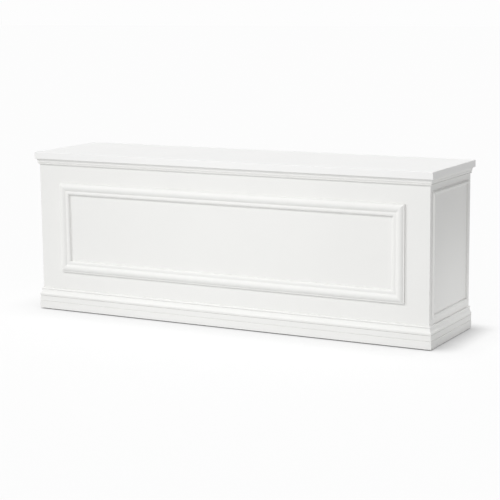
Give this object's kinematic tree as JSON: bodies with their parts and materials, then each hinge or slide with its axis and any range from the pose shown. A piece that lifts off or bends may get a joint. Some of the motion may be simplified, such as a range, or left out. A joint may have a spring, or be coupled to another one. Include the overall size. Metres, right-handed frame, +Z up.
{
  "type": "buffet counter",
  "caption": "Straight white panelled buffet counter with a flat overhanging worktop, moulded frames, crown and plinth, open shelved bays behind and levelling feet.",
  "frame": {"origin": "on the floor under the middle of the worktop", "axes": "+X along the counter to the guests' right, -Y towards the guests, +Z up"},
  "size_m": [2.4384, 0.6096, 0.9144],
  "materials": {
    "painted_board": "white satin paint on board",
    "bare_timber": "planed softwood",
    "zinc_plated_steel": "bright zinc",
    "moulded_nylon": "moulded"
  },
  "bodies": {
    "counter": {"worktop_panel": "painted_board", "worktop_lipping_front": "painted_board", "worktop_lipping_back": "painted_board", "worktop_lipping_left": "painted_board", "worktop_lipping_right": "painted_board", "crown_front": "painted_board", "crown_left": "painted_board", "crown_right": "painted_board", "plinth_cap_front": "painted_board", "plinth_cap_left": "painted_board", "plinth_cap_right": "painted_board", "plinth_front": "painted_board", "plinth_left": "painted_board", "plinth_right": "painted_board", "front_frame_top": "painted_board", "front_frame_bottom": "painted_board", "front_frame_left": "painted_board", "front_frame_right": "painted_board", "left_frame_top": "painted_board", "left_frame_bottom": "painted_board", "left_frame_front": "painted_board", "left_frame_back": "painted_board", "right_frame_top": "painted_board", "right_frame_bottom": "painted_board", "right_frame_front": "painted_board", "right_frame_back": "painted_board", "front_panel": "painted_board", "left_end_panel": "painted_board", "right_end_panel": "painted_board", "deck": "painted_board", "divider_1": "painted_board", "divider_2": "painted_board", "shelf_1": "painted_board", "shelf_2": "painted_board", "shelf_3": "painted_board", "front_stretcher": "painted_board", "back_stretcher": "painted_board", "kick_rail": "painted_board", "bearer_1": "bare_timber", "bearer_2": "bare_timber", "foot_blocks": "bare_timber", "foot_inserts": "zinc_plated_steel"},
    "pad_front_left": {"pad_front_left": "moulded_nylon"},
    "pad_front_middle": {"pad_front_middle": "moulded_nylon"},
    "pad_front_right": {"pad_front_right": "moulded_nylon"},
    "pad_back_left": {"pad_back_left": "moulded_nylon"},
    "pad_back_middle": {"pad_back_middle": "moulded_nylon"},
    "pad_back_right": {"pad_back_right": "moulded_nylon"},
    "stem_front_left": {"stem_front_left": "zinc_plated_steel"},
    "stem_front_middle": {"stem_front_middle": "zinc_plated_steel"},
    "stem_front_right": {"stem_front_right": "zinc_plated_steel"},
    "stem_back_left": {"stem_back_left": "zinc_plated_steel"},
    "stem_back_middle": {"stem_back_middle": "zinc_plated_steel"},
    "stem_back_right": {"stem_back_right": "zinc_plated_steel"}
  },
  "joints": [
    {"name": "height_front_left", "type": "slide", "parent": "counter", "child": "pad_front_left", "axis": [0, 0, 1], "range_m": [-0.025, 0]},
    {"name": "turn_front_left", "type": "hinge", "parent": "pad_front_left", "child": "stem_front_left", "pos_m": [-1.1512, -0.2368, 0], "axis": [0, 0, 1], "range_deg": [-6000, 0]},
    {"name": "height_front_middle", "type": "slide", "parent": "counter", "child": "pad_front_middle", "axis": [0, 0, 1], "range_m": [-0.025, 0]},
    {"name": "turn_front_middle", "type": "hinge", "parent": "pad_front_middle", "child": "stem_front_middle", "pos_m": [0, -0.2368, 0], "axis": [0, 0, 1], "range_deg": [-6000, 0]},
    {"name": "height_front_right", "type": "slide", "parent": "counter", "child": "pad_front_right", "axis": [0, 0, 1], "range_m": [-0.025, 0]},
    {"name": "turn_front_right", "type": "hinge", "parent": "pad_front_right", "child": "stem_front_right", "pos_m": [1.1512, -0.2368, 0], "axis": [0, 0, 1], "range_deg": [-6000, 0]},
    {"name": "height_back_left", "type": "slide", "parent": "counter", "child": "pad_back_left", "axis": [0, 0, 1], "range_m": [-0.025, 0]},
    {"name": "turn_back_left", "type": "hinge", "parent": "pad_back_left", "child": "stem_back_left", "pos_m": [-1.1512, 0.1868, 0], "axis": [0, 0, 1], "range_deg": [-6000, 0]},
    {"name": "height_back_middle", "type": "slide", "parent": "counter", "child": "pad_back_middle", "axis": [0, 0, 1], "range_m": [-0.025, 0]},
    {"name": "turn_back_middle", "type": "hinge", "parent": "pad_back_middle", "child": "stem_back_middle", "pos_m": [0, 0.1868, 0], "axis": [0, 0, 1], "range_deg": [-6000, 0]},
    {"name": "height_back_right", "type": "slide", "parent": "counter", "child": "pad_back_right", "axis": [0, 0, 1], "range_m": [-0.025, 0]},
    {"name": "turn_back_right", "type": "hinge", "parent": "pad_back_right", "child": "stem_back_right", "pos_m": [1.1512, 0.1868, 0], "axis": [0, 0, 1], "range_deg": [-6000, 0]}
  ],
  "couplings": [
    {"joint": "turn_front_left", "follows": "height_front_left", "rad_per_m": 4188.8},
    {"joint": "turn_front_middle", "follows": "height_front_middle", "rad_per_m": 4188.8},
    {"joint": "turn_front_right", "follows": "height_front_right", "rad_per_m": 4188.8},
    {"joint": "turn_back_left", "follows": "height_back_left", "rad_per_m": 4188.8},
    {"joint": "turn_back_middle", "follows": "height_back_middle", "rad_per_m": 4188.8},
    {"joint": "turn_back_right", "follows": "height_back_right", "rad_per_m": 4188.8}
  ]
}
